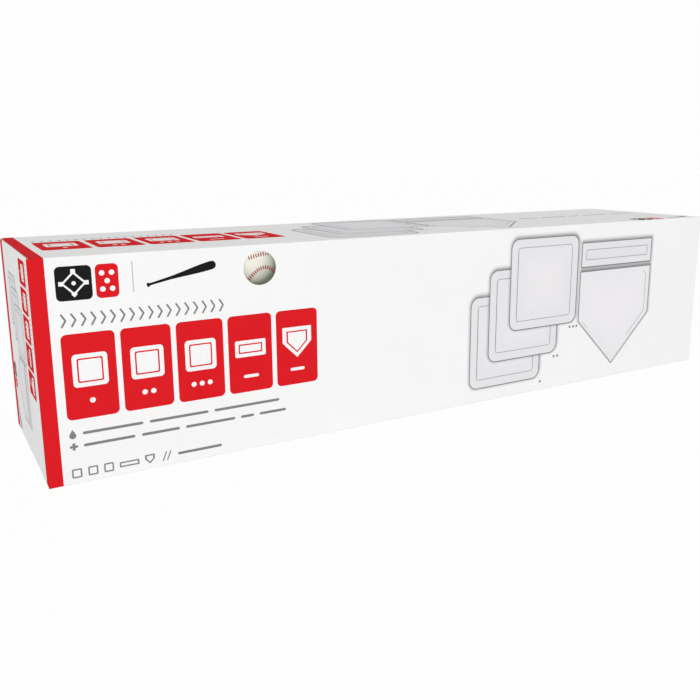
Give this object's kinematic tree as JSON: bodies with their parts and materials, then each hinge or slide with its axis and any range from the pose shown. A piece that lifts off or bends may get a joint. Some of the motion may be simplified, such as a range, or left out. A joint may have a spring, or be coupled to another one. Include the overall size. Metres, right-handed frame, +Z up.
{
  "type": "boxed set of throw-down baseball bases",
  "caption": "Long white tuck-end retail carton with hinged end flaps and dust flaps, holding throw-down rubber bases, a home plate and a pitcher's rubber wound into one roll.",
  "frame": {"origin": "centre of the carton's bottom face, at floor level", "axes": "+X along the carton's length, -Y out of the printed front, +Z up"},
  "size_m": [0.44, 0.102, 0.104],
  "materials": {
    "carton_board": "micro-flute board, white coated and printed outside, uncoated pale grey-buff inside",
    "mat_rubber": "matte, lightly pebbled"
  },
  "bodies": {
    "carton": {"front_panel": "carton_board", "top_panel": "carton_board", "back_panel": "carton_board", "bottom_panel": "carton_board", "glue_flap": "carton_board", "home_plate": "mat_rubber", "third_base": "mat_rubber", "second_base": "mat_rubber", "first_base": "mat_rubber", "pitchers_rubber": "mat_rubber"},
    "left_end_flap": {"left_end_flap": "carton_board"},
    "left_tuck_tongue": {"left_tuck_tongue": "carton_board"},
    "left_top_dust_flap": {"left_top_dust_flap": "carton_board"},
    "left_bottom_dust_flap": {"left_bottom_dust_flap": "carton_board"},
    "right_end_flap": {"right_end_flap": "carton_board"},
    "right_tuck_tongue": {"right_tuck_tongue": "carton_board"},
    "right_top_dust_flap": {"right_top_dust_flap": "carton_board"},
    "right_bottom_dust_flap": {"right_bottom_dust_flap": "carton_board"}
  },
  "joints": [
    {"name": "left_end_hinge", "type": "hinge", "parent": "carton", "child": "left_end_flap", "pos_m": [-0.22, -0.051, 0.052], "axis": [0, 0, 1], "range_deg": [0, 180]},
    {"name": "left_tuck_crease", "type": "hinge", "parent": "left_end_flap", "child": "left_tuck_tongue", "pos_m": [-0.22, 0.0495, 0.052], "axis": [0, 0, 1], "range_deg": [0, 90]},
    {"name": "left_top_dust_crease", "type": "hinge", "parent": "carton", "child": "left_top_dust_flap", "pos_m": [-0.2187, 0, 0.104], "axis": [0, 1, 0], "range_deg": [0, 90]},
    {"name": "left_bottom_dust_crease", "type": "hinge", "parent": "carton", "child": "left_bottom_dust_flap", "pos_m": [-0.2187, 0, 0], "axis": [0, -1, 0], "range_deg": [0, 90]},
    {"name": "right_end_hinge", "type": "hinge", "parent": "carton", "child": "right_end_flap", "pos_m": [0.22, -0.051, 0.052], "axis": [0, 0, -1], "range_deg": [0, 180]},
    {"name": "right_tuck_crease", "type": "hinge", "parent": "right_end_flap", "child": "right_tuck_tongue", "pos_m": [0.22, 0.0495, 0.052], "axis": [0, 0, -1], "range_deg": [0, 90]},
    {"name": "right_top_dust_crease", "type": "hinge", "parent": "carton", "child": "right_top_dust_flap", "pos_m": [0.2187, 0, 0.104], "axis": [0, -1, 0], "range_deg": [0, 90]},
    {"name": "right_bottom_dust_crease", "type": "hinge", "parent": "carton", "child": "right_bottom_dust_flap", "pos_m": [0.2187, 0, 0], "axis": [0, 1, 0], "range_deg": [0, 90]}
  ],
  "couplings": [
    {"joint": "left_tuck_crease", "follows": "left_end_hinge", "ratio": 0.5},
    {"joint": "left_top_dust_crease", "follows": "left_end_hinge", "ratio": 0.5},
    {"joint": "left_bottom_dust_crease", "follows": "left_end_hinge", "ratio": 0.5},
    {"joint": "right_tuck_crease", "follows": "right_end_hinge", "ratio": 0.5},
    {"joint": "right_top_dust_crease", "follows": "right_end_hinge", "ratio": 0.5},
    {"joint": "right_bottom_dust_crease", "follows": "right_end_hinge", "ratio": 0.5}
  ]
}
